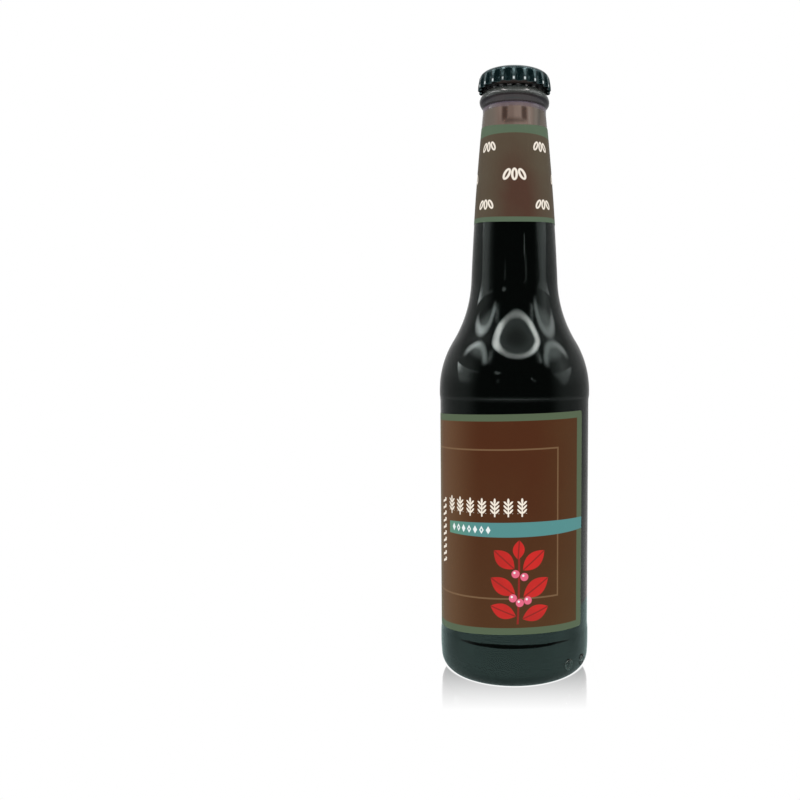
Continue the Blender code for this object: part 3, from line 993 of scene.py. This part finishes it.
def makeStudio():
    # White all round to the eye; in reflections a dark studio with soft lights overhead and at the sides
    look = studioLook
    world = bpy.data.worlds.new("studio")
    bpy.context.scene.world = world
    world.use_nodes = True
    board = Board(world.node_tree)
    x, y, z = board.spot("Generated")
    turn = aroundFrom(x, y) * perRadian
    height = z.maths("ARCSINE", z) * perRadian
    aside = abs(turn)

    def oval(middle, size):  # 1 on the rim of an oval window, and below 1 inside it
        across, up = (turn - middle[0]) / size[0], (height - middle[1]) / size[1]
        return (across * across + up * up) ** 0.5

    sides = aside.rise(52, 84)
    light = look["base"] + sides * look["sideLight"] + aside.rise(108, 150) * look["backLight"]
    light = light + sides * height.rise(2, 14) * height.fall(22, 34) * look["sideBand"]
    light = light + height.rise(30, 46) * aside.rise(40, 60) * look["upperSide"]
    light = light + turn.bell(84, 9) * height.fall(28, 36) * height.rise(2, 14) * look["rightGlow"]

    # The overhead oval light and its bright rim
    axis = look["ovalAxis"]
    toward = x * axis[0] + y * axis[1] + z * axis[2]
    angle = toward.maths("ARCCOSINE", toward) * perRadian
    hot = turn.bell(*look["hotTurn"]) * height.rise(40, 50)
    off = abs(angle - look["ovalHalf"])
    rim = (off - hot * look["hotWidening"]).fall(*look["ovalRim"])
    strength = look["rimLight"] + hot * look["hotLight"]
    strength = strength + turn.bell(*look["rightRimTurn"]) * look["rightRimLight"]
    light = light + rim * strength + angle.fall(22, 27) * (0.25 + angle.rise(8, 24) * 0.4)

    # An arch at each side
    left, (edge, spot, pane) = oval(*look["leftArch"]), look["leftArchLight"]
    strength = edge + turn.bell(-88, 10) * spot
    light = light + abs(left - 1).fall(*look["archRim"]) * height.rise(26, 35) * strength
    light = light + left.fall(*look["archPane"]) * height.rise(30, 40) * pane
    right, (edge, even, pane) = oval(*look["rightArch"]), look["rightArchLight"]
    inside = right.fall(*look["archPane"])
    light = light + abs(right - 1).fall(*look["archRim"]) * height.rise(22, 33) * edge + inside * even
    light = light + inside * height.rise(26, 36) * pane

    # A window under each arch
    top, outer, slant = look["leftWindow"]
    dim, bright = look["leftWindowLight"]
    depth = (top - height) / look["windowTall"]
    within = ((turn - outer) / slant - depth).rise(0, 0.12)
    within = within * (turn.fall(-84, -64) + height.rise(17, 20) * turn.fall(-64, -56) * 0.6).least(1)
    pane = depth.rise(0, 0.06) * within * depth.fall(*look["windowFoot"])
    light = light + pane * (dim + turn.bell(-104, 9) * height.rise(12, 19) * bright)
    top, outer, slant = look["rightWindow"]
    dim, bright = look["rightWindowLight"]
    inner, innerSlant = look["rightWindowInner"]
    depth = (top - height) / look["windowTall"]
    within = ((outer - turn) / slant - depth).rise(0, 0.15) * (turn - inner - depth * innerSlant).rise(0, 8)
    pane = depth.rise(0, 0.08) * within * depth.fall(*look["windowFoot"])
    light = light + pane * (dim + turn.bell(100, 9) * height.rise(9, 17) * bright)

    for middle, size, strength in look["sparks"]:
        light = light + oval(middle, size).fall(0.5, 1.2) * strength

    place = board.node("ShaderNodeTexCoord", output="Generated")
    grit = board.clouds(26.0, 3.0, place).rise(0.4, 0.62)
    most, least = look["gritLight"]
    patch = aside.bell(*look["gritTurn"]) * height.within(*look["gritHeights"], 2.5)
    light = light + patch * (grit * most + least)
    light = light + height.fall(-14, -7) * look["lowLight"]
    light = light + aside.rise(140, 158) * look["backGlow"]
    light = light + aside.rise(95, 120) * height.rise(38, 50) * look["upperBack"]
    turns, heights = look["backdrop"]
    light = light.most(aside.rise(*turns) * height.rise(*heights))
    light = light.most(height.fall(*look["table"]) * look["tableLight"])

    path, plain = plainRays(board)
    paper = path.other("Is Diffuse Ray")
    light = light * (1 - paper) + paper * stageLook["paperLight"]
    light = light * (1 - plain) + plain * stageLook["white"]
    colour = board.blend(rim * (1 - plain) * (1 - paper), pureWhite, look["ovalTint"])
    back = board.node("ShaderNodeBackground", {}, {"Color": colour, "Strength": light})
    board.node("ShaderNodeOutputWorld", {}, {"Surface": back})
    world.cycles.sampling_method = "NONE"


cameraLook = {"lens": 36.42, "place": (0.0, -0.3257, 0.1206), "dip": 0.05, "shift": (-0.1431, 0.010)}


def makeCamera():
    look = cameraLook
    data = bpy.data.cameras.new("camera")
    data.lens = look["lens"]
    data.sensor_width = 36.0
    data.shift_x, data.shift_y = look["shift"]
    data.clip_start = 0.01
    camera = bpy.data.objects.new("camera", data)
    camera.location = look["place"]
    camera.rotation_euler = (math.pi / 2 - look["dip"], 0, 0)
    bpy.context.scene.collection.objects.link(camera)
    bpy.context.scene.camera = camera
    bpy.context.scene.view_settings.view_transform = "Standard"


makeCamera()
makeStudio()
makeFloor()
print("stage ready")
brownGlass = makeGlassFinish()
makeGlass(brownGlass)
makeHeelMarks(brownGlass)
print("glass ready")
makeBeer()
makeCap()
print("beer and cap ready")
makeBodyLabel()
makeNeckLabel()
print("labels ready")
